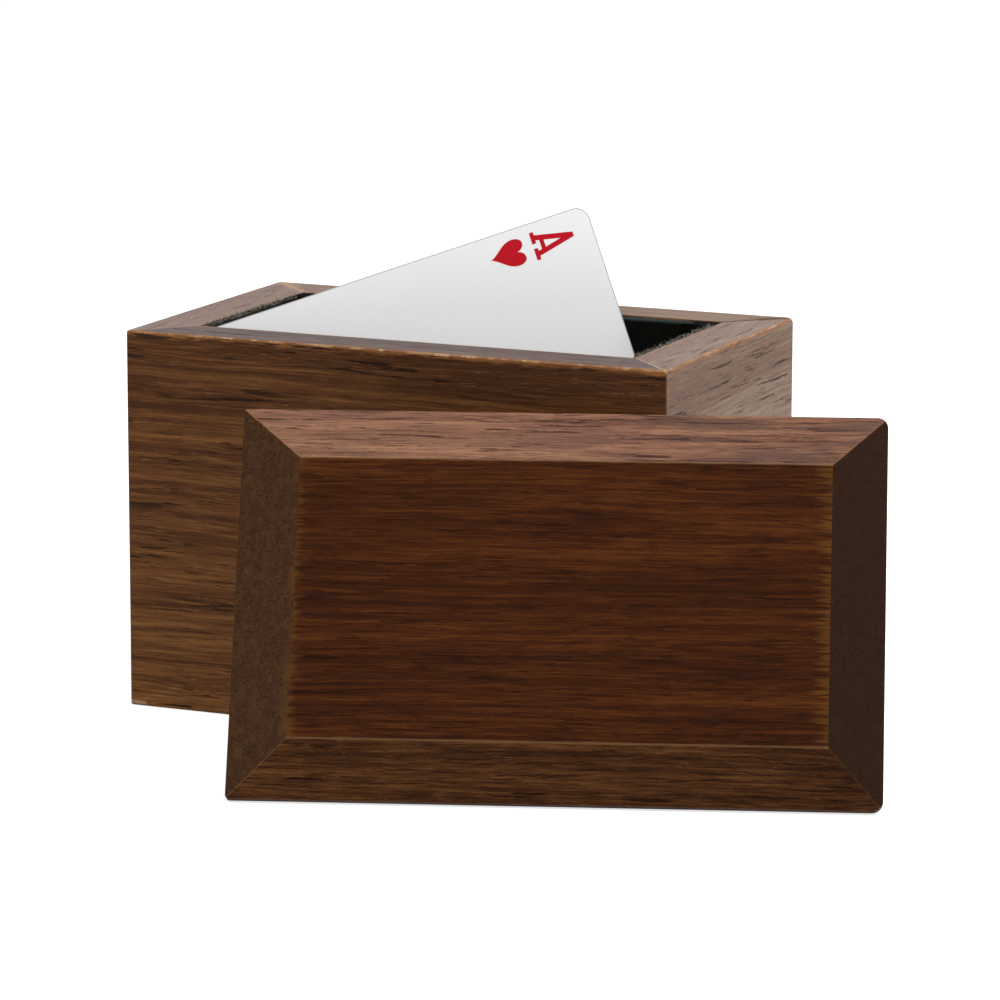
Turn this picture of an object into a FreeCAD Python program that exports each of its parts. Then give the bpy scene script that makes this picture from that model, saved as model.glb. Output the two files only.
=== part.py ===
import FreeCAD, Part
import math
import os

# Magic card box: a mitred walnut box with a false back, a bevelled lid that
# leans against one corner, and a playing card wedged across the mouth.
# Origin: middle of the box's base. +X to the right, +Y to the back, +Z up.
# All lengths are in millimetres and all angles in degrees.

# Driving dimensions: the box
box_width = 127.0
box_depth = 76.2
box_height = 84.0
wall = 12.0
eased_edge = 0.5           # round on every outer edge of the box
bottom_thickness = 6.0
rebate = 6.0               # how far the bottom reaches into each wall
bottom_fit = 0.1           # glue gap round the bottom
chip_along_back = 2.0      # the chipped corner at the back right of the rim
chip_along_side = 1.4
chip_down = 1.5

# Driving dimensions: the linings of felt-covered card
lining = 1.0
lining_drop = 0.2          # from the rim down to the linings' top edges

# Driving dimensions: the false back and the grooved strips that guide it
card_slot = 0.8            # room for one card behind the false back
board = 2.8
board_facing = 0.4         # felt on the board's front
board_eased = 0.3
running_gap = 0.15         # on each face of the board in its grooves
guide_width = 6.0          # from the side wall to the end of the board
lip = 1.2
lip_overlap = 2.0          # how far each lip covers the board's end
lip_clearance = 0.3        # between the lips and the facing
rim_drop = 0.2             # from the rim down to the board and the guides
notch_width = 18.0         # finger notch in the board's top edge
notch_depth = 6.0

# Driving dimensions: the lid
lid_overhang = 3.8         # past each outer face of the box
lid_edge = 2.0             # height of the lid's square edge
lid_field_rise = 5.0       # from that edge up to the raised field
bevel_left = 12.7          # width of each bevel seen square on to the field
bevel_right = 11.3
bevel_long = 11.8          # the front and back bevels
field_eased = 0.6
lid_round_right = 2.3      # the right-hand corners are worn rounder
lid_round_left = 0.8
plug_thickness = 3.5
plug_clearance = 0.5       # between the plug and what lines the mouth
plug_round = 1.5
plug_lining = 0.6
plug_lining_inset = 1.0

# Driving dimensions: how the lid stands against the box
lid_turn = 19.5            # its face is turned this much to the right
lid_lean = 27.9            # from upright
lid_shift = 20.7           # from the lid's middle to where the box touches it
lean_gap = 0.25

# Driving dimensions: the card and how it sits in the mouth
card_length = 88.9
card_width = 63.5
card_thickness = 0.3
card_round = 3.2
card_tilt = 20.2           # of its short edges, from upright
card_rise = 24.9           # from the rim up to the card's highest corner
card_seat = 0.3            # gap at the felt that it is wedged against

# Worked out from the driving dimensions
half_width = box_width / 2
half_depth = box_depth / 2
inner_x = half_width - wall
inner_y = half_depth - wall
floor_top = bottom_thickness + lining
lining_top = box_height - lining_drop
board_top = box_height - rim_drop
board_back = inner_y - card_slot - running_gap
board_front = board_back - board
facing_front = board_front - board_facing
guide_front = board_front - running_gap - lip
guide_inner_x = inner_x - guide_width - lip_overlap
lid_length = box_width + 2 * lid_overhang
lid_depth = box_depth + 2 * lid_overhang

RIGHT = FreeCAD.Vector(1, 0, 0)
UP = FreeCAD.Vector(0, 0, 1)


def block(x_span, y_span, z_span):
    """Square block between two values on each axis."""
    size = [high - low for low, high in (x_span, y_span, z_span)]
    corner = FreeCAD.Vector(x_span[0], y_span[0], z_span[0])
    return Part.makeBox(size[0], size[1], size[2], corner)


def rounded_outline(x_span, y_span, rounds, z):
    """Closed outline with its own radius at each corner.

    The radii run front left, front right, back right, back left.
    """
    signs = ((-1, -1), (1, -1), (1, 1), (-1, 1))
    arcs = []
    for index, (sx, sy) in enumerate(signs):
        radius = rounds[index]
        corner_x = x_span[0] if sx < 0 else x_span[1]
        corner_y = y_span[0] if sy < 0 else y_span[1]
        middle = FreeCAD.Vector(corner_x - sx * radius, corner_y - sy * radius, z)
        start = 180 + 90 * index
        points = []
        for turn in (start, start + 45, start + 90):
            angle = math.radians(turn)
            points.append(middle + FreeCAD.Vector(math.cos(angle), math.sin(angle), 0) * radius)
        arcs.append((points, Part.Arc(*points).toShape()))
    edges = []
    for index, (points, arc) in enumerate(arcs):
        next_points = arcs[(index + 1) % len(arcs)][0]
        edges.append(arc)
        edges.append(Part.LineSegment(points[-1], next_points[0]).toShape())
    return Part.Wire(edges)


def rounded_plate(x_span, y_span, z_span, rounds):
    """Flat plate with that outline."""
    outline = rounded_outline(x_span, y_span, rounds, z_span[0])
    return Part.Face(outline).extrude(UP * (z_span[1] - z_span[0]))


def edges_where(shape, test):
    """The edges whose middle point passes the test."""
    return [edge for edge in shape.Edges if test(edge.CenterOfMass)]


def corner_chip():
    """Small pyramid that is missing from the back right corner of the rim."""
    corner = FreeCAD.Vector(half_width, half_depth, box_height)
    tips = (
        corner - FreeCAD.Vector(chip_along_back, 0, 0),
        corner - FreeCAD.Vector(0, chip_along_side, 0),
        corner - FreeCAD.Vector(0, 0, chip_down),
    )
    faces = []
    for points in ((corner, tips[0], tips[1]), (corner, tips[1], tips[2]),
                   (corner, tips[2], tips[0]), tips):
        faces.append(Part.Face(Part.makePolygon(list(points) + [points[0]])))
    return Part.Solid(Part.Shell(faces))


def carcass():
    """The four walls as one ring, with the rebate for the bottom."""
    outer = block((-half_width, half_width), (-half_depth, half_depth), (0, box_height))
    outer = outer.makeFillet(eased_edge, outer.Edges)
    mouth = block((-inner_x, inner_x), (-inner_y, inner_y), (0, box_height))
    step = block((-inner_x - rebate, inner_x + rebate),
                 (-inner_y - rebate, inner_y + rebate), (0, bottom_thickness))
    return outer.cut([mouth, step, corner_chip()])


def mitred_walls():
    """The ring cut into four boards along the diagonals of its corners."""
    ring = carcass()
    outside = {"x": half_width + wall, "y": half_depth + wall}
    inside = {"x": inner_x - wall, "y": inner_y - wall}
    walls = {}
    for name, signs in (("front_wall", ((-1, -1), (1, -1))), ("back_wall", ((1, 1), (-1, 1))),
                        ("left_wall", ((-1, 1), (-1, -1))), ("right_wall", ((1, -1), (1, 1)))):
        corners = []
        for reach, order in ((outside, signs), (inside, signs[::-1])):
            for sx, sy in order:
                corners.append(FreeCAD.Vector(sx * reach["x"], sy * reach["y"], 0))
        wedge = Part.Face(Part.makePolygon(corners + [corners[0]])).extrude(UP * box_height)
        walls[name] = ring.common(wedge)
    return walls


def bottom_panel():
    """Board that fills the rebate from below, flush with the walls' feet."""
    reach_x = inner_x + rebate - bottom_fit
    reach_y = inner_y + rebate - bottom_fit
    return block((-reach_x, reach_x), (-reach_y, reach_y), (0, bottom_thickness))


def linings():
    """Felt-covered card on the floor, the front and both sides."""
    height = (floor_top, lining_top)
    side_run = (-inner_y + lining, guide_front)
    return {
        "floor_lining": block((-inner_x, inner_x), (-inner_y, inner_y), (bottom_thickness, floor_top)),
        "front_lining": block((-inner_x, inner_x), (-inner_y, -inner_y + lining), height),
        "left_lining": block((-inner_x, -inner_x + lining), side_run, height),
        "right_lining": block((inner_x - lining, inner_x), side_run, height),
    }


def right_guide():
    """Corner strip with the groove that the false back slides in."""
    strip = block((guide_inner_x, inner_x), (guide_front, inner_y), (floor_top, board_top))
    groove = block((guide_inner_x, inner_x - guide_width),
                   (guide_front + lip, inner_y - card_slot), (floor_top, board_top))
    return strip.cut(groove)


def finger_notch():
    """Half-round cutter for the notch that a fingertip lifts the board by."""
    radius = (notch_width ** 2 / 4 + notch_depth ** 2) / (2 * notch_depth)
    centre = FreeCAD.Vector(0, facing_front - lip, board_top - notch_depth + radius)
    return Part.makeCylinder(radius, board_back - facing_front + 2 * lip, centre, FreeCAD.Vector(0, 1, 0))


def false_back_board():
    """Thin board whose ends run in the guides."""
    reach = inner_x - guide_width - running_gap
    panel = block((-reach, reach), (board_front, board_back), (floor_top, board_top))
    top_edges = edges_where(panel, lambda p: p.z > board_top - board_eased and abs(p.x) < reach)
    return panel.makeFillet(board_eased, top_edges).cut(finger_notch())


def false_back_facing():
    """Felt on the front of the board, short of the guides' lips."""
    reach = guide_inner_x - lip_clearance
    sheet = block((-reach, reach), (facing_front, board_front), (floor_top, board_top - board_eased))
    return sheet.cut(finger_notch())


def lid_board():
    """Raised field with four bevels, drawn lying flat.

    Its middle is at x = 0, its front edge at y = 0 and its underside at z = 0.
    """
    outline = (lid_round_left, lid_round_right, lid_round_right, lid_round_left)
    half = lid_length / 2
    top = lid_edge + lid_field_rise
    rims = []
    for left, right, ends, height in ((-half, half, 0, lid_edge),
                                      (-half + bevel_left, half - bevel_right, bevel_long, top)):
        corners = [(left, ends), (right, ends), (right, lid_depth - ends), (left, lid_depth - ends)]
        points = [FreeCAD.Vector(x, y, height) for x, y in corners]
        rims.append(Part.makePolygon(points + [points[0]]))
    field = Part.makeLoft(rims, True, True)
    arrises = edges_where(field, lambda p: p.z > lid_edge + field_eased)
    field = field.makeFillet(field_eased, arrises)
    slab = block((-half, half), (0, lid_depth), (0, lid_edge))
    stock = rounded_plate((-half, half), (0, lid_depth), (0, top), outline)
    return slab.fuse(field).common(stock).removeSplitter()


def plug_span(inset):
    """Plan of the plug in the lid's own place, drawn in by inset."""
    reach = inner_x - lining - plug_clearance - inset
    front = lid_depth / 2 - inner_y + lining + plug_clearance + inset
    back = lid_depth / 2 + guide_front - plug_clearance - inset
    return (-reach, reach), (front, back)


def lid_plug():
    """Board that drops between the linings and in front of the false back."""
    x_span, y_span = plug_span(0)
    return rounded_plate(x_span, y_span, (-plug_thickness, 0), [plug_round] * 4)


def lid_lining():
    """Felt under the plug."""
    x_span, y_span = plug_span(plug_lining_inset)
    span = (-plug_thickness - plug_lining, -plug_thickness)
    return rounded_plate(x_span, y_span, span, [plug_round] * 4)


def standing(shape):
    """Stand a piece of the lid on its front edge, leaning on the box's corner."""
    turn = FreeCAD.Rotation(UP, lid_turn)
    rotation = turn.multiply(FreeCAD.Rotation(RIGHT, 90 - lid_lean))
    towards_viewer = turn.multVec(FreeCAD.Vector(0, -1, 0))
    touch = FreeCAD.Vector(half_width - eased_edge, -half_depth + eased_edge, 0)
    touch = touch + towards_viewer * (eased_edge + lean_gap)
    # The box touches the lid at the lid's top edge, or at the rim if that is lower
    touch_height = min(lid_depth * math.cos(math.radians(lid_lean)), box_height)
    along = touch_height / math.cos(math.radians(lid_lean))
    place = touch + UP * touch_height - rotation.multVec(FreeCAD.Vector(lid_shift, along, 0))
    placed = shape.copy()
    placed.Placement = FreeCAD.Placement(place, rotation)
    return placed


def playing_card():
    """Card that reaches from the front lining to the false back.

    Both short edges lie in upright planes, tilted by card_tilt, one against the
    front felt and one against the false back. The card's lower left corner of
    the two that show rests against the left lining.
    """
    front = -inner_y + lining + card_seat
    back = facing_front - card_seat
    sideways = math.asin((back - front) / card_length)
    tilt = math.radians(card_tilt)
    along = FreeCAD.Vector(math.cos(sideways) * math.cos(tilt), math.sin(sideways),
                           math.cos(sideways) * math.sin(tilt))
    upward = FreeCAD.Vector(-math.sin(tilt), 0, math.cos(tilt))
    # How far the rounded corner reaches to the left of its arc's own middle
    reach = card_round * math.hypot(along.x, upward.x)
    arc_middle_x = -inner_x + lining + card_seat + reach
    corner_x = arc_middle_x - card_round * (along.x - upward.x)
    corner_z = box_height + card_rise - card_length * along.z
    corner = FreeCAD.Vector(corner_x, front, corner_z)
    plate = rounded_plate((0, card_length), (-card_width, 0),
                          (-card_thickness / 2, card_thickness / 2), [card_round] * 4)
    plate.Placement = FreeCAD.Placement(corner, FreeCAD.Rotation(along, upward, along.cross(upward)))
    return plate


def build():
    """Every piece under the name of its node."""
    pieces = mitred_walls()
    pieces["bottom_panel"] = bottom_panel()
    pieces.update(linings())
    guide = right_guide()
    pieces["right_guide"] = guide
    pieces["left_guide"] = guide.mirror(FreeCAD.Vector(0, 0, 0), RIGHT)
    pieces["false_back_board"] = false_back_board()
    pieces["false_back_facing"] = false_back_facing()
    pieces["lid_board"] = standing(lid_board())
    pieces["lid_plug"] = standing(lid_plug())
    pieces["lid_lining"] = standing(lid_lining())
    pieces["playing_card"] = playing_card()
    return pieces


os.makedirs("parts", exist_ok=True)
for name, shape in build().items():
    shape.exportStep("parts/" + name + ".step")
    box = shape.BoundBox
    low = "%.2f %.2f %.2f" % (box.XMin, box.YMin, box.ZMin)
    high = "%.2f %.2f %.2f" % (box.XMax, box.YMax, box.ZMax)
    print(name, "solids", len(shape.Solids), "valid", shape.isValid(), "volume %.1f" % shape.Volume,
          "from", low, "to", high)
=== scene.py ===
import math
import random

import bmesh
import bpy
from bpy.props import FloatProperty, FloatVectorProperty, PointerProperty
from bpy.types import Operator, Panel, PropertyGroup
from mathutils import Matrix, Vector
from mathutils.geometry import tessellate_polygon


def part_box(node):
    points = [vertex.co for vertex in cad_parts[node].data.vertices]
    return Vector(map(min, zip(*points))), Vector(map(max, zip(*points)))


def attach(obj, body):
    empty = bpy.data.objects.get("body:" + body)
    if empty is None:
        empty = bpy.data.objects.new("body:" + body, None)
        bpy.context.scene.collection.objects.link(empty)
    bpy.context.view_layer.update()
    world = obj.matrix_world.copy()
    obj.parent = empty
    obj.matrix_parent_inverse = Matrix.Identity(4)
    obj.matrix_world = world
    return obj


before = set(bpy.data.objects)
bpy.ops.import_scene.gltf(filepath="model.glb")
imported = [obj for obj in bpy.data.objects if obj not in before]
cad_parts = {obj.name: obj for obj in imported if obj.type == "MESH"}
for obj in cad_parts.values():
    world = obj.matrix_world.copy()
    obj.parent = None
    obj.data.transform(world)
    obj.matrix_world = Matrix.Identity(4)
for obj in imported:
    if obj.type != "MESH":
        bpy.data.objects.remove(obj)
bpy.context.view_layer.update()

bl_info = {
    "name": "Walnut card box",
    "version": (1, 0, 0),
    "blender": (4, 5, 0),
    "location": "View3D > Sidebar > Card box",
    "description": "Dresses a mitred walnut card box, its lid, felt and card, and sets up the stage",
    "category": "Object",
}

MM = 0.001
FULL_TURN = 2 * math.pi

# The boards' own edges, read from the frame: half the outside, half the mouth, and the rim's height
OUTER_HALF = Vector((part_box("right_wall")[1].x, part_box("back_wall")[1].y)) / MM
INNER_HALF = Vector((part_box("right_wall")[0].x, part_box("back_wall")[0].y)) / MM
RIM_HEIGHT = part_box("front_wall")[1].z / MM


def srgb(text):
    """Turns an sRGB hex colour, such as "#5c4033", to the linear values that shaders take."""
    parts = [int(text[i:i + 2], 16) / 255 for i in (1, 3, 5)]
    return tuple(p / 12.92 if p <= 0.04045 else ((p + 0.055) / 1.055) ** 2.4 for p in parts)


def colour(name, description, value):
    return FloatVectorProperty(name=name, description=description, default=srgb(value), size=3,
                               min=0, max=1, subtype="COLOR")


def length(name, description, millimetres):
    return FloatProperty(name=name, description=description, default=millimetres * MM, min=0,
                         precision=5, subtype="DISTANCE", unit="LENGTH")


class WallTimber(PropertyGroup):
    """Colours of the box's four boards"""
    long_dark: colour("Dark figure", "Latewood of the long boards", "#3f220e")
    long_middle: colour("Middle", "Most of a long board", "#5b381b")
    long_light: colour("Light figure", "Pale bands of the long boards", "#784f29")
    long_pore: colour("Pores", "Open pores of the long boards", "#1e120b")
    long_fleck: colour("Flecks", "Fibres of the long boards that catch the light", "#8f6a45")
    # painted light: the short boards' tones are lighter and greyer than the long boards', standing in for the
    # light falling on the box's right side
    side_dark: colour("Side dark figure", "Latewood of the short boards", "#674426")
    side_middle: colour("Side middle", "Most of a short board", "#795a38")
    side_light: colour("Side light figure", "Pale bands of the short boards", "#8b6b4a")
    side_pore: colour("Side pores", "Open pores of the short boards", "#342017")
    side_fleck: colour("Side flecks", "Fibres of the short boards that catch the light", "#95704c")
    rubbed: colour("Rubbed arris", "Bare wood right at the outer arris", "#9d7750")
    bare: colour("Bare arris", "The palest bare wood at the outer arris", "#b3977a")
    worn: colour("Worn arris", "Oil worn thin beside the arrises", "#80522c")


class LidTimber(PropertyGroup):
    """Colours of the lid's one board"""
    field_dark: colour("Field dark figure", "Oiled latewood on the raised field", "#2b1205")
    field_middle: colour("Field middle", "Most of the raised field", "#3a1a07")
    field_light: colour("Field light figure", "Pale fibres on the raised field", "#4e280d")
    field_end: colour("Field ends", "Fibre ends where the field was cut through", "#61401b")
    # painted light: the back bevel's tones are paler than the rest of the board, for the light falling on it
    # from above
    top_dark: colour("Back bevel dark", "Dark streaks of the long bevel at the lid's back", "#4f352a")
    top_middle: colour("Back bevel middle", "Most of that bevel", "#7c5644")
    top_light: colour("Back bevel light", "Its pale fibres", "#8f6850")
    top_grey: colour("Back bevel bloom", "Greyer patches of that bevel", "#5c433a")
    top_fleck: colour("Back bevel flecks", "Its fibres that catch the light", "#a3826a")
    top_pore: colour("Back bevel pores", "Its open pores", "#35221d")
    low_dark: colour("Front bevel dark", "Dark streaks of the long bevel at the lid's front", "#291508")
    low_middle: colour("Front bevel middle", "Most of that bevel", "#422511")
    low_light: colour("Front bevel light", "Its pale fibres", "#5a3a1d")
    pore: colour("Pores", "Open pores of the field and the front bevel", "#180b05")
    left_end: colour("Left end grain", "Cut fibre ends at the left", "#3b2417")
    # painted shade: the right end is given darker tones than the left, as it faces away from the light
    right_end: colour("Right end grain", "Cut fibre ends at the right, which drank more oil", "#2a1910")
    end_pale: colour("End grain clouds", "Harder fibre ends that took less oil", "#553c22")
    end_speck: colour("End grain specks", "Pores seen end on", "#1c120c")
    hip: colour("Bevel arris", "Rubbed arrises between the bevels", "#8d6a47")


class Figure(PropertyGroup):
    """Sizes of the walnut's figure"""
    band: length("Band", "Width of a colour band across the board", 9)
    streak: length("Streak", "Width of a fibre streak", 1.3)
    streak_run: length("Streak run", "Length of a fibre streak", 55)
    pore: length("Pore width", "Spacing of the large pores across the grain", 1.1)
    pore_run: length("Pore run", "Length of the longest pores", 17)
    wave: length("Wave", "How far the grain wanders across the board", 3)
    relief: length("Relief", "Depth of an open pore", 0.12)


class Wear(PropertyGroup):
    """Sizes of the boards' wear"""
    # painted shade: how far below the rim the painted darkening of the boards fades out
    rim_shade_reach: length("Heartwood", "How far below the rim the darker wood fades out", 18)
    nick: length("Nick", "Length of a nick torn out under the rim", 11)
    nick_reach: length("Nick reach", "How far below the rim the nicks reach", 2.2)
    chip: length("Chip", "Size of the chips along a mitre", 1.2)
    chipped_end: length("Chipped end", "How far in from the outside a mitre is chipped wider", 9)
    # painted shade: height of the dark line painted round the foot where it meets the floor
    arris: length("Arris", "Width of the rubbed line on the rim's outer arris", 1.25)
    foot_shade: length("Soil", "Height of the soiled line round the foot", 0.6)
    foot_corner: length("Foot corner", "Width of the rubbed corners of the foot", 4.4)


class Cloth(PropertyGroup):
    """Felt, board and card"""
    felt: colour("Felt", "Short black nap", "#080905")
    # painted highlight: pale colour for black fibres catching the light
    fibre: colour("Loose fibre", "Fibre ends that stand in the light", "#a09b8c")
    board: colour("False back edge", "Sanded edge of the black board", "#222c2c")
    card: colour("Card", "Coated card", "#f0f0f0")
    # painted shade: the grey of the card's cut edge, which falls in shadow
    card_edge: colour("Card edge", "Cut edge of the card, greyed by handling", "#8f8f8c")
    ink: colour("Ink", "Printed red", "#c11222")
    fibre_length: length("Fibre length", "Longest loose fibre at a lining's top edge", 1.3)
    fibre_thickness: length("Fibre thickness", "Thickness of a loose fibre, drawn coarser to show", 0.09)
    fibre_gap: length("Fibre gap", "Mean distance between loose fibres along an edge", 0.07)


class Print(PropertyGroup):
    """Sizes of the card's index, pips and back"""
    letter_height: length("Letter height", "Height of the index letter", 9.4)
    letter_width: length("Letter width", "Width over the letter's feet", 6.3)
    stroke: length("Stroke", "Width of the letter's strokes", 1.15)
    pip_height: length("Small pip height", "Height of the pip under the letter", 7.8)
    pip_width: length("Small pip width", "Width of the pip under the letter", 6.0)
    index_gap: length("Index gap", "Space between the letter and the pip", 2.1)
    margin_top: length("Top margin", "From the card's short edge to the letter", 4.6)
    margin_side: length("Side margin", "From the card's long edge to the index's middle", 5.3)
    ace_height: length("Middle pip height", "Height of the pip in the card's middle", 19)
    ace_width: length("Middle pip width", "Width of the pip in the card's middle", 16)
    ink_depth: length("Ink depth", "How far the print stands off the card", 0.02)
    corner: length("Corner", "Round of the card's corners", 3.2)
    border: length("Back border", "White border round the pattern on the back", 4)
    lattice: length("Lattice", "Size of a diamond in the pattern on the back", 3.2)


class Stage(PropertyGroup):
    """Camera, lamps and floor"""
    azimuth: FloatProperty(name="Azimuth", description="Camera's turn round the box", subtype="ANGLE",
                           default=math.radians(23.55))
    elevation: FloatProperty(name="Elevation", description="Camera's height angle", subtype="ANGLE",
                             default=math.radians(11.27))
    roll: FloatProperty(name="Roll", description="Camera's roll", subtype="ANGLE",
                        default=math.radians(0.118))
    distance: length("Distance", "From the camera to its aim", 1121.5)
    aim_right: length("Aim right", "How far right of the box's middle the camera aims", 8.32)
    aim_height: length("Aim height", "How high the camera aims", 44.45)
    lens: FloatProperty(name="Lens", description="Focal length", default=182.1, min=1, unit="CAMERA")
    floor: length("Floor", "Side of the square floor", 8000)
    ambient: FloatProperty(name="Ambient", description="Strength of the even light", default=0.5, min=0)
    backdrop: FloatProperty(name="Backdrop", description="How far the floor is lifted to white where it "
                                                         "is seen or mirrored", default=0.62, min=0)


def owned(name):
    """The settings that the panel shows, by their name on the scene."""
    return getattr(bpy.context.scene, "card_box_" + name)


# Materials

# Short names for node kinds with a setting. Fade takes a value, where it starts and ends, and what it gives
# there, 0 and 1 unless told. The names in capitals work on single numbers.
PRESETS = {
    "Fade": ("MapRange", {"interpolation_type": "SMOOTHSTEP"}),
    "MixColour": ("Mix", {"data_type": "RGBA"}),
    **{how: ("Math", {"operation": how}) for how in (
        "ADD", "SUBTRACT", "MULTIPLY", "DIVIDE", "MULTIPLY_ADD", "MAXIMUM", "ABSOLUTE", "SINE", "PINGPONG")},
}


def add(tree, kind, inputs=(), stops=None, **settings):
    """Adds a node, sets its properties and fills its inputs, in order or by name, with values or links."""
    kind, preset = PRESETS.get(kind, (kind, {}))
    node = tree.nodes.new("ShaderNode" + kind)
    for key, value in {**preset, **settings}.items():
        setattr(node, key, value)
    if stops:
        ramp = node.color_ramp
        while len(ramp.elements) < len(stops):
            ramp.elements.new(1)
        for element, (position, value) in zip(ramp.elements, stops):
            element.position = position
            element.color = (*value, 1)
    sockets = {s.identifier: s for s in node.inputs if s.enabled}
    if not isinstance(inputs, dict):
        inputs = dict(zip(sockets, inputs))
    sockets = {**{s.name: s for s in sockets.values()}, **sockets}
    for key, value in inputs.items():
        if isinstance(value, bpy.types.Node):
            value = next(s for s in value.outputs if s.enabled)
        if isinstance(value, bpy.types.NodeSocket):
            tree.links.new(value, sockets[key])
        else:
            wide = sockets[key].type == "RGBA" and len(value) == 3
            sockets[key].default_value = (*value, 1) if wide else value
    return node


def new_material(name):
    """An empty node material and its tree."""
    material = bpy.data.materials.new(name)
    material.use_nodes = True
    material.node_tree.nodes.clear()
    return material, material.node_tree


def place_in_mm(tree, stand=None):
    """The point's place in millimetres: in the object's own frame, or in a leaning piece's frame."""
    place = add(tree, "VectorMath", {"Vector": add(tree, "TexCoord").outputs["Object"], "Scale": 1 / MM},
                operation="SCALE")
    if stand:
        place = add(tree, "Mapping", {"Vector": place, "Location": stand.to_translation() / MM,
                                      "Rotation": stand.to_euler()}, vector_type="TEXTURE")
    return place


def turned(tree, place, axes):
    """The place with its axes in another order, so that the first runs along the grain."""
    parts = add(tree, "SeparateXYZ", [place]).outputs
    return add(tree, "CombineXYZ", [parts[axis] for axis in axes])


def lumps(tree, place, cell, detail=2.0, roughness=0.5):
    """A pattern whose lumps have the sizes of cell, in millimetres."""
    scaled = add(tree, "VectorMath", [place, cell], operation="DIVIDE")
    return add(tree, "TexNoise", {"Vector": scaled, "Scale": 1.0, "Detail": detail, "Roughness": roughness})


def product(tree, *values):
    """Several values multiplied together."""
    total = values[0]
    for value in values[1:]:
        total = add(tree, "MULTIPLY", [total, value])
    return total


def walnut_figure(tree, place, cut, spread=0.25, fine=1.0, banding=0.34):
    """The figure of sawn walnut along the first axis: (lightness, pores, flecks).

    cut moves the board through the log, so that no two boards share their figure. Pores are thin ragged
    dashes, crowded in patches unless spread is near 1, and flecks are short fibres beside them that catch the
    light. fine scales how wide the pores are, and banding is the colour bands' share of the figure."""
    sizes = owned("figure")
    band, streak, run = sizes.band / MM, sizes.streak / MM, sizes.streak_run / MM
    pore, pore_run, wave = sizes.pore / MM * fine, sizes.pore_run / MM, sizes.wave / MM
    wave_cell, fray_cell, fray = (60, 22, 22), (2.5, 0.9, 0.9), 0.45
    rings_to_a_band, ring_share, streak_share, fibre_share = 9, 0.03, 0.52, 0.48
    place = add(tree, "VectorMath", [place, cut], operation="ADD")
    # The grain wanders across the board, and its fibres are frayed
    wander = lumps(tree, place, wave_cell).outputs["Color"]
    place = add(tree, "VectorMath", [wander, (0, wave, wave), place], operation="MULTIPLY_ADD")
    ragged = lumps(tree, place, fray_cell, 2.0, 0.6).outputs["Color"]
    place = add(tree, "VectorMath", [ragged, (0, fray, fray), place], operation="MULTIPLY_ADD")
    bands = lumps(tree, place, (run * 5, band, band))
    rings = add(tree, "SINE", [add(tree, "MULTIPLY", [bands, FULL_TURN * rings_to_a_band])])
    streaks = lumps(tree, place, (run, streak, streak * 1.3), 3.0, 0.65)
    fibres = lumps(tree, place, (run / 6, streak / 3, streak / 2.5), 3.0, 0.6)
    light = add(tree, "MULTIPLY_ADD", [rings, ring_share, bands])
    light = add(tree, "MULTIPLY", [light, banding])
    light = add(tree, "MULTIPLY_ADD", [streaks, streak_share - banding / 2, light])
    light = add(tree, "MULTIPLY_ADD", [fibres, fibre_share - banding / 2, light])
    patches = lumps(tree, place, (pore_run * 3, pore * 6, pore * 8), 1.0)
    patches = add(tree, "Fade", [patches, 0.42, 0.58, spread, 1.0])
    large = add(tree, "Fade", [lumps(tree, place, (pore_run, pore, pore * 1.3), 2.0, 0.6), 0.6, 0.66])
    small = lumps(tree, place, (pore_run / 2.5, pore / 2.5, pore / 2), 2.0, 0.6)
    small = add(tree, "Fade", [small, 0.61, 0.69, 0.0, 0.75])
    pores = product(tree, add(tree, "MAXIMUM", [large, small]), patches)
    flecks = add(tree, "Fade", [lumps(tree, place, (pore_run / 3, pore / 3, pore / 2.5), 1.0), 0.33, 0.25])
    return light, pores, product(tree, flecks, patches)


def figured(tree, light, tones):
    """Colours the figure from its dark over its middle to its light tone."""
    return add(tree, "ValToRGB", [light], stops=list(zip((0.4, 0.5, 0.6), tones)))


def walnut_surface(tree, tint, pores, light, bloom):
    """Open-grained walnut under thin oil. Face on it shines little, because its pores are rough dips. bloom
    is how much the fine fibres standing off it turn it pale where it is seen along the surface."""
    height = add(tree, "MULTIPLY_ADD", [pores, -0.8, light])
    bump = add(tree, "Bump", {"Height": height, "Distance": owned("figure").relief, "Strength": 0.8})
    shine = add(tree, "MULTIPLY_ADD", [pores, 0.3, 0.5])
    gloss = add(tree, "MULTIPLY_ADD", [bloom, 0.8, 0.04])
    fibres = add(tree, "Fade", [add(tree, "MULTIPLY_ADD", [pores, -0.1, light]), 0.42, 0.58, 0.5, 1.9])
    return add(tree, "BsdfPrincipled", {
        "Base Color": tint, "Roughness": shine, "IOR": 1.5, "Specular IOR Level": gloss,
        "Sheen Weight": product(tree, fibres, bloom), "Sheen Roughness": 0.4, "Sheen Tint": srgb("#c6e3ff"),
        "Normal": bump})


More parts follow.
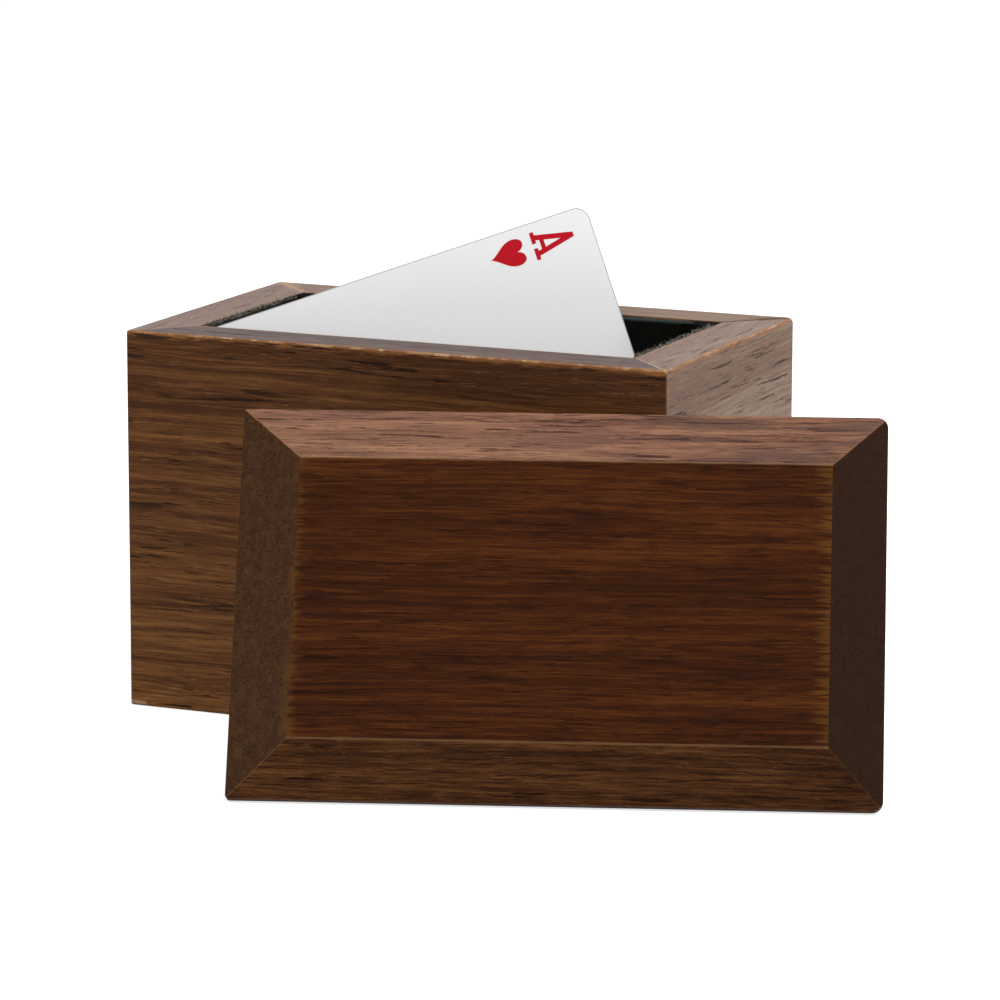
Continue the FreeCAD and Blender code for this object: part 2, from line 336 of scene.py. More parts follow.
def walnut_boards(name, axes, across, cut, kind="long", spread=0.25, fine=1.0, bloom=(0.2, 0.05)):
    """Planed walnut boards, oiled thin, with rubbed arrises and ragged glue lines at the mitres. across is
    the axis through the boards' thickness, kind picks the tones of the long or the side boards, and bloom
    holds the pale bloom on the handled rim and that on the faces."""
    timber, wear = owned("walls"), owned("wear")
    tones = ("_dark", "_middle", "_light", "_pore", "_fleck")
    *figure, pore, fleck = [getattr(timber, kind + tone) for tone in tones]
    material, tree = new_material(name)
    place = place_in_mm(tree)
    light, pores, flecks = walnut_figure(tree, turned(tree, place, axes), cut, spread, fine)
    right, back, foot = add(tree, "SeparateXYZ", [place]).outputs
    rightward, behind = add(tree, "Fade", [right, -1, 1]), add(tree, "Fade", [back, -1, 1])
    # Ways in from the outside, from the ends, from the mouth and down from the rim, in millimetres
    inward = add(tree, "VectorMath", [place], operation="ABSOLUTE")
    inward = add(tree, "VectorMath", [(*OUTER_HALF, RIM_HEIGHT), inward], operation="SUBTRACT")
    inward = add(tree, "SeparateXYZ", [inward]).outputs
    outside, end, down = inward[across], inward["X" if across == "Y" else "Y"], inward["Z"]
    board = (OUTER_HALF - INNER_HALF)["XY".index(across)]
    inside = add(tree, "SUBTRACT", [board, outside])
    # The same way down, made ragged as hand wear is
    ragged = lumps(tree, place, (6, 6, 1.2), 3.0, 0.6)
    uneven = add(tree, "MULTIPLY_ADD", [ragged, -2.2, down])
    # Painted shade: the boards are darker towards the rim, standing in for less light bouncing up from the
    # floor there
    depth = add(tree, "MULTIPLY_ADD", [ragged, -8, down])
    light = add(tree, "SUBTRACT", [light, add(tree, "Fade", [depth, wear.rim_shade_reach / MM, 4, 0.0, 0.055])])
    tint = figured(tree, light, figure)
    # The oil is worn thin beside the outer arris and along the mouth
    worn = product(tree, add(tree, "Fade", [uneven, 0.3, -0.5]), add(tree, "Fade", [outside, 0.7, 0.4]))
    inner = add(tree, "Fade", [add(tree, "ADD", [uneven, inside]), -0.2, -0.9])
    worn = product(tree, add(tree, "MAXIMUM", [worn, inner]), 0.8)
    tint = add(tree, "MixColour", [worn, tint, timber.worn])
    tint = add(tree, "MixColour", [product(tree, flecks, 0.45), tint, fleck])
    open_pores = product(tree, pores, add(tree, "Fade", [down, 0.1, 0.3, 0.5, 0.9]))
    tint = add(tree, "MixColour", [open_pores, tint, pore])
    if across == "Y":
        # The rim of the back board, beside the false back, is handled most and its oil has worn thin
        handled = product(tree, add(tree, "Fade", [down, 0.5, 0.2]), behind, 0.45)
        tint = add(tree, "MixColour", [handled, tint, timber.side_light])
    # Mitres: ragged near the rim, wider at the back, pale but for a dark one at the back right
    mitre = add(tree, "ABSOLUTE", [add(tree, "SUBTRACT", [inward["X"], inward["Y"]])])
    pale = add(tree, "SUBTRACT", [1.0, product(tree, rightward, behind)])
    pale_back = product(tree, pale, behind)
    chips = lumps(tree, place, (wear.chip / MM,) * 3, 3.0, 0.7)
    width = product(tree, chips, add(tree, "Fade", [behind, 0, 1, 0.6, 3.2]),
                    add(tree, "Fade", [outside, wear.chipped_end / MM, 0, 1.0, 2.5]))
    if across == "Y":
        width = product(tree, width, add(tree, "Fade", [pale_back, 0, 1, 1.0, 1.3]))
    frayed = product(tree, add(tree, "Fade", [mitre, width, 0.0]), add(tree, "Fade", [down, 0.8, 0.2]),
                     add(tree, "Fade", [pale_back, 0, 1, 0.9, 0.6]))
    glued = add(tree, "MixColour", [pale, timber.long_dark, timber.bare])
    tint = add(tree, "MixColour", [frayed, tint, glued])
    # Fibres torn out just under the rim have left dark nicks
    nick, reach = wear.nick / MM, wear.nick_reach / MM
    torn = add(tree, "Fade", [lumps(tree, place, (nick, nick, 1.3), 2.0, 0.6), 0.56, 0.63])
    torn = product(tree, torn, add(tree, "Fade", [down, reach, 1.0]),
                   add(tree, "Fade", [down, 0.3, 0.6]), 0.85)
    tint = add(tree, "MixColour", [torn, tint, pore])
    # Painted shade along the foot's edge, where it meets the floor, and rubbed wear at its corners
    foot_shade, corner = wear.foot_shade / MM, wear.foot_corner / MM
    tint = add(tree, "MixColour", [add(tree, "Fade", [foot, foot_shade, 0.1, 0.0, 0.6]), tint, pore])
    rubbed = add(tree, "Fade", [add(tree, "MULTIPLY_ADD", [chips, -1.2, foot]), 1.0, 0.3])
    rubbed = product(tree, rubbed, add(tree, "Fade", [foot, 0.2, 0.5]),
                     add(tree, "Fade", [end, corner, corner - 1]), 0.45)
    tint = add(tree, "MixColour", [rubbed, tint, timber.bare])
    # The outer arris of the rim: bare in places, in a line that nicks break
    broken = lumps(tree, place, (3, 3, 3), 4.0, 0.7)
    line = add(tree, "MULTIPLY_ADD", [broken, 1.6, add(tree, "ADD", [outside, down])])
    line = add(tree, "Fade", [line, wear.arris / MM, 1.0])
    line = product(tree, line, add(tree, "Fade", [pores, 0.7, 0.2]))
    bare = add(tree, "MixColour", [add(tree, "Fade", [ragged, 0.5, 0.62]), timber.rubbed, timber.bare])
    tint = add(tree, "MixColour", [product(tree, line, 0.9), tint, bare])
    # What is rubbed bare has lost its bloom
    kept = add(tree, "Fade", [add(tree, "MAXIMUM", [frayed, line]), 0.0, 0.6, 1.0, 0.1])
    bloom = product(tree, add(tree, "Fade", [down, 0.2, 0.5, *bloom]), kept)
    add(tree, "OutputMaterial", [walnut_surface(tree, tint, pores, light, bloom)])
    return material


def felt_material():
    """Black wool felt, needled and sheared: a soft nap without gloss, paler and clotted where the side
    linings were cut; the paleness is a painted highlight of fibres catching the light."""
    cloth = owned("cloth")
    material, tree = new_material("black_wool_felt_sheared")
    place = place_in_mm(tree)
    nap = lumps(tree, place, (0.5, 0.5, 0.5), 3.0, 0.65)  # a felt fibre is 0.03 mm: drawn coarser
    tint = add(tree, "MixColour", [add(tree, "Fade", [nap, 0.5, 0.8, 0.0, 0.03]), cloth.felt, cloth.fibre])
    from_middle = add(tree, "VectorMath", [place], operation="ABSOLUTE")
    side, _, height = add(tree, "SeparateXYZ", [from_middle]).outputs
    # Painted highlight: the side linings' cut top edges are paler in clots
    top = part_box("right_lining")[1].z / MM
    clots = add(tree, "Fade", [lumps(tree, place, (1.6, 1.6, 1.0), 3.0, 0.7), 0.4, 0.65, 0.05, 0.45])
    cut = product(tree, add(tree, "Fade", [height, top - 0.8, top]), clots,
                  add(tree, "Fade", [side, INNER_HALF.x - 1.4, INNER_HALF.x - 1.1]))
    tint = add(tree, "MixColour", [cut, tint, cloth.fibre])
    bump = add(tree, "Bump", {"Height": nap, "Distance": 0.3 * MM, "Strength": 1.0})
    wool = add(tree, "BsdfPrincipled", {"Base Color": tint, "Roughness": 1.0, "Specular IOR Level": 0.02,
                                        "Sheen Weight": 0.03, "Sheen Roughness": 0.6, "Normal": bump})
    add(tree, "OutputMaterial", [wool])
    return material


def fibre_material():
    """Loose felt fibres at a cut edge: the same wool, paler where the light gets through them; that paleness
    is a painted highlight.
    """
    cloth = owned("cloth")
    material, tree = new_material("loose_wool_fibre")
    nap = lumps(tree, place_in_mm(tree), (0.8, 0.8, 0.4), 1.0)
    tint = add(tree, "ValToRGB", [nap], stops=[(0.4, cloth.felt), (0.62, cloth.fibre)])
    wool = add(tree, "BsdfPrincipled", {"Base Color": tint, "Roughness": 0.9, "Specular IOR Level": 0.2})
    add(tree, "OutputMaterial", [wool])
    return material


def black_board_material():
    """Dense black board with a sanded edge: flat black with a faint grey-green bloom."""
    material, tree = new_material("black_board_sanded")
    edge = owned("cloth").board
    specks = lumps(tree, place_in_mm(tree), (1.2, 0.3, 1.2), 3.0, 0.6)
    tint = add(tree, "ValToRGB", [specks], stops=[(0.3, [c * 0.5 for c in edge]), (0.7, edge)])
    bump = add(tree, "Bump", {"Height": specks, "Distance": 0.05 * MM})
    board = add(tree, "BsdfPrincipled", {"Base Color": tint, "Roughness": 0.9, "Specular IOR Level": 0.1,
                                         "Normal": bump})
    add(tree, "OutputMaterial", [board])
    return material


def stained_wood_material():
    """Corner strips stained flat black: the grain only shows as a faint ribbing."""
    material, tree = new_material("beech_stained_black")
    grain = lumps(tree, place_in_mm(tree), (0.7, 0.7, 20), 2.0)
    tint = add(tree, "ValToRGB", [grain], stops=[(0.3, srgb("#070706")), (0.7, srgb("#110f0d"))])
    bump = add(tree, "Bump", {"Height": grain, "Distance": 0.05 * MM})
    strip = add(tree, "BsdfPrincipled", {"Base Color": tint, "Roughness": 0.95, "Specular IOR Level": 0.02,
                                         "Normal": bump})
    add(tree, "OutputMaterial", [strip])
    return material


def plate_frame(node):
    """The frame of a flat leaning piece and half its sides: x along its long side, z out of its front."""
    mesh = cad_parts[node].data
    areas, normals = {}, {}
    for polygon in mesh.polygons:
        key = tuple(round(c, 3) for c in polygon.normal)
        areas[key] = areas.get(key, 0) + polygon.area
        normals.setdefault(key, polygon.normal.copy())
    ranked = [normals[key] for key in sorted(areas, key=areas.get, reverse=True)]
    out = ranked[0] if ranked[0].y < 0 else -ranked[0]
    up = next(normal for normal in ranked if abs(normal.dot(out)) < 0.01)
    up = up if up.z > 0 else -up
    axes = Matrix((up.cross(out), up, out))
    spots = [axes @ vertex.co for vertex in mesh.vertices]
    low = Vector([min(spot[i] for spot in spots) for i in range(3)])
    high = Vector([max(spot[i] for spot in spots) for i in range(3)])
    stand = axes.transposed().to_4x4()
    stand.translation = axes.transposed() @ ((low + high) / 2)
    return stand, (high - low) / 2


def field_edges(stand, half):
    """The raised field's left, right, front and back edges in the lid's own frame, in millimetres."""
    inverse = stand.inverted()
    spots = [inverse @ vertex.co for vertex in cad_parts["lid_board"].data.vertices]
    spots = [spot for spot in spots if spot.z > half.z - 0.01 * MM]
    along, upper = [spot.x / MM for spot in spots], [spot.y / MM for spot in spots]
    return min(along), max(along), min(upper), max(upper)


def lid_material():
    """One sanded walnut board: a field rubbed with red-brown oil, paler long bevels and dark end grain. The
    back bevel's pale tones are painted light from above, and the right end's darker tones painted shade.
    """
    timber = owned("lid")
    stand, half = plate_frame("lid_board")
    left, right, front, back = field_edges(stand, half)
    half = half / MM
    material, tree = new_material("walnut_lid_oiled")
    place = place_in_mm(tree, stand)
    along, upper, height = add(tree, "SeparateXYZ", [place]).outputs
    light, pores, flecks = walnut_figure(tree, place, (310, 47, 12), 0.8, 0.6, 0.24)
    # How far past the field's edges a point lies, in millimetres
    past_left, past_right = add(tree, "SUBTRACT", [left, along]), add(tree, "SUBTRACT", [along, right])
    past_front, past_back = add(tree, "SUBTRACT", [front, upper]), add(tree, "SUBTRACT", [upper, back])
    # The same as a share of the bevel: less than 0 on the field, 1 at the lid's outline
    past_end = add(tree, "MAXIMUM", [add(tree, "DIVIDE", [past_left, left + half.x]),
                                     add(tree, "DIVIDE", [past_right, half.x - right])])
    past_long = add(tree, "MAXIMUM", [add(tree, "DIVIDE", [past_front, front + half.y]),
                                      add(tree, "DIVIDE", [past_back, half.y - back])])
    hip = add(tree, "SUBTRACT", [past_end, past_long])
    # Short dark blotches where the oil soaked in deeper
    soaked = add(tree, "Fade", [lumps(tree, place, (9, 2.0, 2.0), 3.0, 0.6), 0.57, 0.68, 0.0, 0.5])
    # The field: at its ends the fibres cut through show as a pale comb, longer at the right
    field = figured(tree, light, (timber.field_dark, timber.field_middle, timber.field_light))
    comb = add(tree, "Fade", [lumps(tree, place, (12, 0.8, 0.8), 2.0, 0.6), 0.35, 0.65])
    for past, reach in ((past_left, 2.0), (past_right, 4.0)):
        end = add(tree, "Fade", [add(tree, "MULTIPLY_ADD", [comb, reach, past]), -0.8, 2.5, 0.0, 0.55])
        field = add(tree, "MixColour", [end, field, timber.field_end])
    dark = add(tree, "MAXIMUM", [soaked, product(tree, pores, 0.6)])
    field = add(tree, "MixColour", [dark, field, timber.pore])
    # Painted light: the back bevel, which faces up, gets paler tones than the rest of the board, darker and
    # greyer to the right
    top = add(tree, "SUBTRACT", [light, add(tree, "Fade", [along, 0, 60, 0.0, 0.03])])
    top = figured(tree, top, (timber.top_dark, timber.top_middle, timber.top_light))
    grey = add(tree, "Fade", [lumps(tree, place, (26, 3.5, 3.5), 3.0, 0.6), 0.42, 0.6])
    grey = product(tree, grey, add(tree, "Fade", [along, -50, 50, 0.3, 1.0]))
    for share, tone in ((grey, timber.top_grey), (product(tree, flecks, 0.4), timber.top_fleck),
                        (product(tree, pores, 0.85), timber.top_pore)):
        top = add(tree, "MixColour", [share, top, tone])
    # The front bevel
    low = figured(tree, light, (timber.low_dark, timber.low_middle, timber.low_light))
    low = add(tree, "MixColour", [product(tree, flecks, 0.3), low, timber.hip])
    dark = add(tree, "MAXIMUM", [soaked, product(tree, pores, 0.9)])
    low = add(tree, "MixColour", [dark, low, timber.pore])
    bevels = add(tree, "MixColour", [add(tree, "Fade", [upper, -1, 1]), low, top])
    tint = add(tree, "MixColour", [add(tree, "Fade", [past_long, -0.01, 0.01]), field, bevels])
    # End grain: dark and pale specks in faint clouds, and a paler strip beside the field at the left. The
    # darker right end is painted shade.
    specks = lumps(tree, place, (0.45, 0.45, 0.45), 2.0, 0.6)
    clouds = add(tree, "Fade", [lumps(tree, place, (1.8, 2.6, 1.8), 4.0, 0.7), 0.38, 0.68])
    clouds = product(tree, clouds, add(tree, "Fade", [along, 1, -1, 0.06, 0.42]))
    pale = add(tree, "Fade", [specks, 0.57, 0.7])
    pale = product(tree, pale, add(tree, "Fade", [along, 1, -1, 0.08, 0.35]))
    strip = add(tree, "Fade", [lumps(tree, place, (7, 12, 7), 3.0), 0.4, 0.62])
    strip = product(tree, add(tree, "Fade", [past_left, 2.2, 0.2]), strip, 0.7,
                    add(tree, "Fade", [along, 1, -1]))
    ends = timber.left_end
    open_ends = add(tree, "Fade", [specks, 0.46, 0.34, 0.0, 0.75])
    for share, tone in ((add(tree, "Fade", [along, -1, 1]), timber.right_end), (clouds, timber.end_pale),
                        (pale, timber.end_pale), (open_ends, timber.end_speck), (strip, timber.low_light)):
        ends = add(tree, "MixColour", [share, ends, tone])
    on_end = product(tree, add(tree, "Fade", [hip, -0.01, 0.01]), add(tree, "Fade", [past_end, -0.01, 0.01]))
    tint = add(tree, "MixColour", [on_end, tint, ends])
    # Rubbed arrises: the back hips, and the long sides of the field
    frayed = add(tree, "MULTIPLY", [lumps(tree, place, (5, 5, 5), 3.0, 0.6), 0.07])
    hip_line = product(tree, add(tree, "Fade", [add(tree, "ABSOLUTE", [hip]), frayed, 0.0]),
                       add(tree, "Fade", [past_end, 0.0, 0.02]),
                       add(tree, "Fade", [upper, -20, 20, 0.15, 0.6]),
                       add(tree, "Fade", [along, -20, 20, 1.0, 0.5]))
    field_line = product(tree, add(tree, "Fade", [add(tree, "ABSOLUTE", [past_long]), frayed, 0.0]),
                         add(tree, "Fade", [past_end, 0.02, 0.0]), 0.35)
    tint = add(tree, "MixColour", [add(tree, "MAXIMUM", [hip_line, field_line]), tint, timber.hip])
    # The underside is the bare board
    under = add(tree, "Fade", [add(tree, "ADD", [height, half.z]), 0.3, 0.1])
    tint = add(tree, "MixColour", [under, tint, low])
    add(tree, "OutputMaterial", [walnut_surface(tree, tint, pores, light, 0.0)])
    return material


def card_material():
    """Coated card stock: smooth and white, with a plain red lattice printed on its back."""
    cloth, sizes = owned("cloth"), owned("print")
    stand, half = plate_frame("playing_card")
    material, tree = new_material("coated_card_stock")
    place = place_in_mm(tree, stand)
    along, across, out = add(tree, "SeparateXYZ", [place]).outputs
    tooth = lumps(tree, place, (0.5, 0.5, 0.5), 2.0, 0.6)
    tint = add(tree, "ValToRGB", [tooth], stops=[(0.3, [c * 0.97 for c in cloth.card]), (0.7, cloth.card)])
    # Painted shade: the cut edge and a hair's breadth of the face beside it are greyed, as the edge falls in
    # shadow
    inner_corner = Vector((half.x - sizes.corner, half.y - sizes.corner, 1)) / MM
    past = add(tree, "VectorMath", [place], operation="ABSOLUTE")
    past = add(tree, "VectorMath", [past, inner_corner], operation="SUBTRACT")
    past = add(tree, "VectorMath", [past, (0, 0, 0)], operation="MAXIMUM")
    past = add(tree, "VectorMath", [past], operation="LENGTH")
    edge = add(tree, "Fade", [add(tree, "SUBTRACT", [past, sizes.corner / MM]), -0.35, -0.05, 0.0, 0.75])
    tint = add(tree, "MixColour", [edge, tint, cloth.card_edge])
    # The lattice on the back, inside its border
    printed = add(tree, "Fade", [out, -0.12, -0.14])
    for value, side in ((along, half.x), (across, half.y)):
        border = (side - sizes.border) / MM
        inside = add(tree, "Fade", [add(tree, "ABSOLUTE", [value]), border + 0.05, border - 0.05])
        printed = product(tree, printed, inside)
    for how in ("ADD", "SUBTRACT"):
        wave = add(tree, "PINGPONG", [add(tree, how, [along, across]), sizes.lattice / MM / 2])
        printed = product(tree, printed, add(tree, "Fade", [wave, 0.2, 0.3]))
    tint = add(tree, "MixColour", [printed, tint, cloth.ink])
    bump = add(tree, "Bump", {"Height": tooth, "Distance": 0.01 * MM})
    card = add(tree, "BsdfPrincipled", {"Base Color": tint, "Roughness": 0.45, "IOR": 1.5,
                                        "Specular IOR Level": 0.25, "Normal": bump})
    add(tree, "OutputMaterial", [card])
    return material


def ink_material():
    """Printed red ink, slightly glossier than the card and faintly broken by its tooth."""
    ink = owned("cloth").ink
    material, tree = new_material("red_printing_ink")
    tooth = lumps(tree, place_in_mm(tree), (0.25, 0.25, 0.25), 2.0)
    tint = add(tree, "ValToRGB", [tooth], stops=[(0.3, [c * 0.85 for c in ink]), (0.7, ink)])
    film = add(tree, "BsdfPrincipled", {"Base Color": tint, "Roughness": 0.4, "IOR": 1.5,
                                        "Specular IOR Level": 0.12})
    add(tree, "OutputMaterial", [film])
    return material


def white_floor_material():
    """Matt white paper sweep: it looks pure white where it is lit, and keeps the shadow."""
    material, tree = new_material("white_paper_sweep")
    paper = add(tree, "BsdfDiffuse", {"Color": srgb("#e8e8e8")})
    ray = add(tree, "LightPath")
    seen = add(tree, "MAXIMUM", [ray.outputs["Is Camera Ray"], ray.outputs["Is Glossy Ray"]])
    seen = add(tree, "MAXIMUM", [seen, ray.outputs["Is Transmission Ray"]])
    lift = product(tree, seen, owned("stage").backdrop)
    lift = add(tree, "Emission", {"Color": (1, 1, 1), "Strength": lift})
    add(tree, "OutputMaterial", [add(tree, "AddShader", [paper, lift])])
    return material


def dress(material, *nodes):
    """Gives CAD nodes a material in all their slots."""
    for name in nodes:
        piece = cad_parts[name]
        if not piece.material_slots:
            piece.data.materials.append(material)
        for slot in piece.material_slots:
            slot.material = material


# Pieces

def build(name, mesh, material, body):
    """Turns a bmesh into an object that rides a body, with its material in a slot."""
    bmesh.ops.recalc_face_normals(mesh, faces=mesh.faces)
    data = bpy.data.meshes.new(name)
    mesh.to_mesh(data)
    mesh.free()
    data.materials.append(material)
    piece = bpy.data.objects.new(name, data)
    bpy.context.collection.objects.link(piece)
    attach(piece, body)
    return piece


def stand_fibres(mesh, chance, edge, away, sizes):
    """Loose fibres along a straight edge: thin tapered stalks that lean any way, most away from the wall."""
    start, end = edge
    count = round((end - start).length / sizes.fibre_gap)
    around = [Vector((math.cos(a), math.sin(a), 0)) * sizes.fibre_thickness / 2
              for a in (0, FULL_TURN / 3, 2 * FULL_TURN / 3)]
    for _ in range(count):
        foot = start.lerp(end, chance.random()) + away * chance.uniform(-0.3, 0.5) * MM
        tall = sizes.fibre_length * chance.uniform(0.25, 1) ** 2
        lean = Vector((chance.gauss(0, 0.7), chance.gauss(0, 0.7), 0)) + away * 0.2
        tip = foot + Vector((lean.x, lean.y, 0.8)).normalized() * tall
        bend = foot.lerp(tip, 0.55) + Vector((chance.gauss(0, 1), chance.gauss(0, 1), 1)) * tall * 0.12
        foot = foot - Vector((0, 0, 0.15 * MM))
        rings = [[mesh.verts.new(spot + side * thick) for side in around]
                 for spot, thick in ((foot, 1.0), (bend, 0.8))]
        point = mesh.verts.new(tip)
        mesh.faces.new(rings[0])
        for i in range(3):
            j = (i + 1) % 3
            mesh.faces.new((rings[0][i], rings[0][j], rings[1][j], rings[1][i]))
            mesh.faces.new((rings[1][i], rings[1][j], point))


def prism(mesh, loops, stand, low, high):
    """A closed prism over an outline and its holes, given in a piece's own plane."""
    caps = [[[mesh.verts.new(stand @ Vector((x, y, z))) for x, y in loop] for loop in loops]
            for z in (low, high)]
    flat = [[Vector((x, y, 0)) for x, y in loop] for loop in loops]
    for cap in caps:
        spots = [vertex for loop in cap for vertex in loop]
        for triangle in tessellate_polygon(flat):
            mesh.faces.new([spots[i] for i in triangle])
    for below, above in zip(*caps):
        for i in range(len(below)):
            j = (i + 1) % len(below)
            mesh.faces.new((below[i], below[j], above[j], above[i]))


def letter_outline(sizes):
    """The index letter standing on its baseline, with slab feet: its outline and its hole."""
    wide, tall, stroke = sizes.letter_width / 2, sizes.letter_height, sizes.stroke
    foot, inset, blunt = stroke * 0.8, wide * 0.17, stroke * 0.45
    outer = wide * 0.76
    slope = (outer - blunt) / (tall - foot)
    thick = stroke * math.hypot(1, slope)

    def inner(height):
        return outer - slope * (height - foot) - thick
    bar_low, bar_high = tall * 0.185, tall * 0.29
    right = [(inset, 0), (wide, 0), (wide, foot), (outer, foot), (blunt, tall)]
    left = [(-x, y) for x, y in reversed(right)]
    notch = [(-inset, foot), (-inner(foot), foot), (-inner(bar_low), bar_low), (inner(bar_low), bar_low),
             (inner(foot), foot), (inset, foot)]
    peak = foot + (outer - thick) / slope
    return [right + left + notch, [(-inner(bar_high), bar_high), (0, peak), (inner(bar_high), bar_high)]]


def heart_outline(wide, tall, steps=10):
    """A heart from its tip at the origin's height -tall up to its lobes at height 0."""
    # Tip, flank, lobe and cleft, as shares of half the width and of the height
    tip, flank, lobe, cleft = (0, -1), (1, -0.27), (0.54, 0), (0, -0.21)
    half = []
    for curve in ((tip, (0.16, -0.76), (1, -0.58), flank), (flank, (1, -0.1), (0.8, 0), lobe),
                  (lobe, (0.28, 0), (0.06, -0.08), cleft)):
        a, b, c, d = (Vector(point) for point in curve)
        for i in range(steps):
            t = i / steps
            half.append(a * (1 - t) ** 3 + b * 3 * t * (1 - t) ** 2 + c * 3 * t ** 2 * (1 - t) + d * t ** 3)
    half.append(Vector(cleft))
    right = [(p.x * wide / 2, p.y * tall) for p in half]
    return [right + [(-x, y) for x, y in reversed(right[1:-1])]]


class CARDBOX_OT_walls(Operator):
    """Dresses the four mitred boards and the bottom panel in walnut"""
    bl_idname = "card_box.walls"
    bl_label = "Walnut boards"

    def execute(self, context):
        dress(walnut_boards("walnut_long_boards_planed", "XZY", "Y", (0, 0, 0)), "front_wall", "back_wall")
        # The short boards' paler, greyer tones are painted light
        dress(walnut_boards("walnut_short_boards_painted_light", "YZX", "X", (500, 90, 0), "side", spread=0.8,
                            fine=0.7, bloom=(0.32, 0.18)), "left_wall", "right_wall")
        dress(walnut_boards("walnut_panel_planed", "XYZ", "Y", (900, 40, 0)), "bottom_panel")
        return {"FINISHED"}


class CARDBOX_OT_linings(Operator):
    """Dresses the felt linings, and stands loose fibres on the side linings' cut edges"""
    bl_idname = "card_box.linings"
    bl_label = "Felt linings"

    def execute(self, context):
        sizes = owned("cloth")
        dress(felt_material(), "front_lining", "left_lining", "right_lining", "floor_lining",
              "false_back_facing", "lid_lining")
        loose = fibre_material()
        for seed, (side, away) in enumerate((("left", 1), ("right", -1))):
            low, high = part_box(side + "_lining")
            middle = (low.x + high.x) / 2
            edge = Vector((middle, low.y, high.z)), Vector((middle, high.y, high.z))
            mesh = bmesh.new()
            stand_fibres(mesh, random.Random(seed), edge, Vector((away, 0, 0)), sizes)
            build(side + "_fringe", mesh, loose, "box")
        return {"FINISHED"}


class CARDBOX_OT_false_back(Operator):
    """Dresses the false back and the guides that it slides in"""
    bl_idname = "card_box.false_back"
    bl_label = "False back and guides"

    def execute(self, context):
        dress(stained_wood_material(), "left_guide", "right_guide")
        dress(black_board_material(), "false_back_board")
        return {"FINISHED"}


class CARDBOX_OT_lid(Operator):
    """Dresses the bevelled lid and its plug"""
    bl_idname = "card_box.lid"
    bl_label = "Lid"

    def execute(self, context):
        dress(lid_material(), "lid_board")
        dress(walnut_boards("walnut_plug_planed", "XZY", "Y", (700, 0, 30)), "lid_plug")
        return {"FINISHED"}


class CARDBOX_OT_card(Operator):
    """Dresses the card and prints its two corner indices and its middle pip"""
    bl_idname = "card_box.card"
    bl_label = "Card"

    def execute(self, context):
        sizes = owned("print")
        dress(card_material(), "playing_card")
        stand, half = plate_frame("playing_card")
        # The card stands on its long side: its own up is +x here and its own right is -y
        upright = stand @ Matrix.Rotation(-math.pi / 2, 4, "Z")
        baseline = half.x - sizes.margin_top - sizes.letter_height
        aside = sizes.margin_side - half.y
        letter = [[(x + aside, y + baseline) for x, y in loop] for loop in letter_outline(sizes)]
        pip_top = baseline - sizes.index_gap
        pip = [[(x + aside, y + pip_top) for x, y in loop]
               for loop in heart_outline(sizes.pip_width, sizes.pip_height)]
        middle = [[(x, y + sizes.ace_height / 2) for x, y in loop]
                  for loop in heart_outline(sizes.ace_width, sizes.ace_height)]
        ink = ink_material()
        low, high = half.z * 0.5, half.z + sizes.ink_depth
        for name, loops in (("index_letter", letter), ("index_pip", pip)):
            for end, place in (("top", upright), ("foot", upright @ Matrix.Rotation(math.pi, 4, "Z"))):
                mesh = bmesh.new()
                prism(mesh, loops, place, low, high)
                build(name + "_" + end, mesh, ink, "card")
        mesh = bmesh.new()
        prism(mesh, middle, upright, low, high)
        build("middle_pip", mesh, ink, "card")
        return {"FINISHED"}


class CARDBOX_OT_stage(Operator):
    """Sets up the floor, the lamps, the world and the camera"""
    bl_idname = "card_box.stage"
    bl_label = "Stage"

    def execute(self, context):
        lay_floor()
        light_world()
        hang_lamps()
        place_camera()
        context.scene.view_settings.view_transform = "Standard"
        return {"FINISHED"}


def lay_floor():
    half = owned("stage").floor / 2
    mesh = bpy.data.meshes.new("floor")
    corners = [(-half, -half, 0), (half, -half, 0), (half, half, 0), (-half, half, 0)]
    mesh.from_pydata(corners, [], [(0, 1, 2, 3)])
    floor = bpy.data.objects.new("floor", mesh)
    floor.location.z = -0.1 * MM
    bpy.context.collection.objects.link(floor)
    mesh.materials.append(white_floor_material())


def light_world():
    """Even light, and white where it is seen or mirrored."""
    world = bpy.data.worlds.new("studio")
    bpy.context.scene.world = world
    world.use_nodes = True
    tree = world.node_tree
    tree.nodes.clear()
    ray = add(tree, "LightPath")
    seen = add(tree, "MAXIMUM", [ray.outputs["Is Camera Ray"], ray.outputs["Is Transmission Ray"]])
    _, heading, _ = add(tree, "SeparateXYZ", [add(tree, "TexCoord").outputs["Generated"]]).outputs
    behind = add(tree, "Fade", [heading, -0.4, 0.3, 0.2, 1.0])
    seen = add(tree, "MAXIMUM", [seen, product(tree, ray.outputs["Is Glossy Ray"], behind)])
    plain = add(tree, "MAXIMUM", [seen, owned("stage").ambient])
    add(tree, "OutputWorld", [add(tree, "Background", {"Color": (1, 1, 1), "Strength": plain})])


def hang_lamps():
    """Large soft boxes that look at the box's middle, one over its right and one before it."""
    middle = Vector((0, 0, 0.04))
    # Name, azimuth and elevation in degrees, distance and side in metres, power in watts
    for name, azimuth, elevation, distance, side, power in (
            ("over_soft_box", 100, 62, 0.6, 0.5, 3.3),
            ("front_soft_box", -10, 30, 1.4, 0.9, 7.0)):
        a, e = math.radians(azimuth), math.radians(elevation)
        back = Vector((math.sin(a) * math.cos(e), -math.cos(a) * math.cos(e), math.sin(e)))
        data = bpy.data.lights.new(name, "AREA")
        data.size = side
        data.energy = power
        lamp = bpy.data.objects.new(name, data)
        lamp.location = middle + back * distance
        lamp.rotation_euler = back.to_track_quat("Z", "Y").to_euler()
        bpy.context.collection.objects.link(lamp)


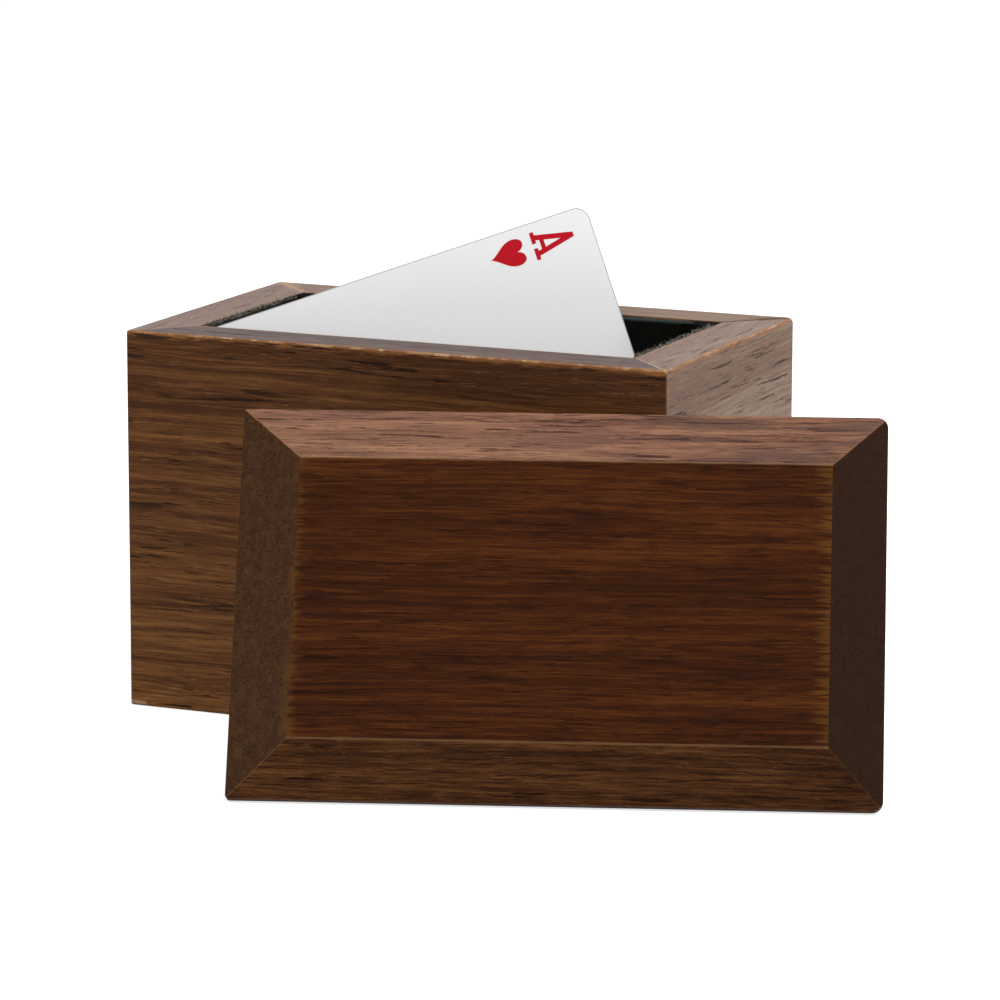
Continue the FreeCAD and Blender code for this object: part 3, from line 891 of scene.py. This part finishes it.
def place_camera():
    """The camera, where the photographer's stood, with a long lens."""
    stage = owned("stage")
    a, e, roll = stage.azimuth, stage.elevation, stage.roll
    back = Vector((math.sin(a) * math.cos(e), -math.cos(a) * math.cos(e), math.sin(e)))
    right = (-back).cross(Vector((0, 0, 1))).normalized()
    up = right.cross(-back)
    aim = right * stage.aim_right + Vector((0, 0, stage.aim_height))
    across = right * math.cos(roll) + up * math.sin(roll)
    over = up * math.cos(roll) - right * math.sin(roll)
    data = bpy.data.cameras.new("camera")
    data.lens = stage.lens
    data.sensor_width = 36
    data.sensor_fit = "HORIZONTAL"
    data.clip_start, data.clip_end = 0.01, 50
    camera = bpy.data.objects.new("camera", data)
    camera.matrix_world = Matrix.Translation(aim + back * stage.distance) @ Matrix(
        (across, over, back)).transposed().to_4x4()
    bpy.context.collection.objects.link(camera)
    bpy.context.scene.camera = camera


class VIEW3D_PT_card_box(Panel):
    """Lists the pieces and their settings"""
    bl_idname = "VIEW3D_PT_card_box"
    bl_label = "Card box"
    bl_space_type = "VIEW_3D"
    bl_region_type = "UI"
    bl_category = "Card box"

    def draw(self, context):
        for operator in OPERATORS:
            self.layout.operator(operator.bl_idname)
        for name in GROUPS:
            group = owned(name)
            box = self.layout.box()
            box.label(text=group.__doc__ or name)
            for key in group.__annotations__:
                box.prop(group, key)


GROUPS = {"walls": WallTimber, "lid": LidTimber, "figure": Figure, "wear": Wear, "cloth": Cloth,
          "print": Print, "stage": Stage}
OPERATORS = (CARDBOX_OT_stage, CARDBOX_OT_walls, CARDBOX_OT_linings, CARDBOX_OT_false_back, CARDBOX_OT_lid,
             CARDBOX_OT_card)


def register():
    for piece in (*GROUPS.values(), *OPERATORS, VIEW3D_PT_card_box):
        bpy.utils.register_class(piece)
    for name, group in GROUPS.items():
        setattr(bpy.types.Scene, "card_box_" + name, PointerProperty(type=group))


def unregister():
    for name in GROUPS:
        delattr(bpy.types.Scene, "card_box_" + name)
    for piece in (VIEW3D_PT_card_box, *reversed(OPERATORS), *reversed(GROUPS.values())):
        bpy.utils.unregister_class(piece)


def main():
    register()
    bpy.ops.card_box.stage()
    bpy.ops.card_box.walls()
    bpy.ops.card_box.linings()
    bpy.ops.card_box.false_back()
    bpy.ops.card_box.lid()
    bpy.ops.card_box.card()


if __name__ == "__main__":
    main()
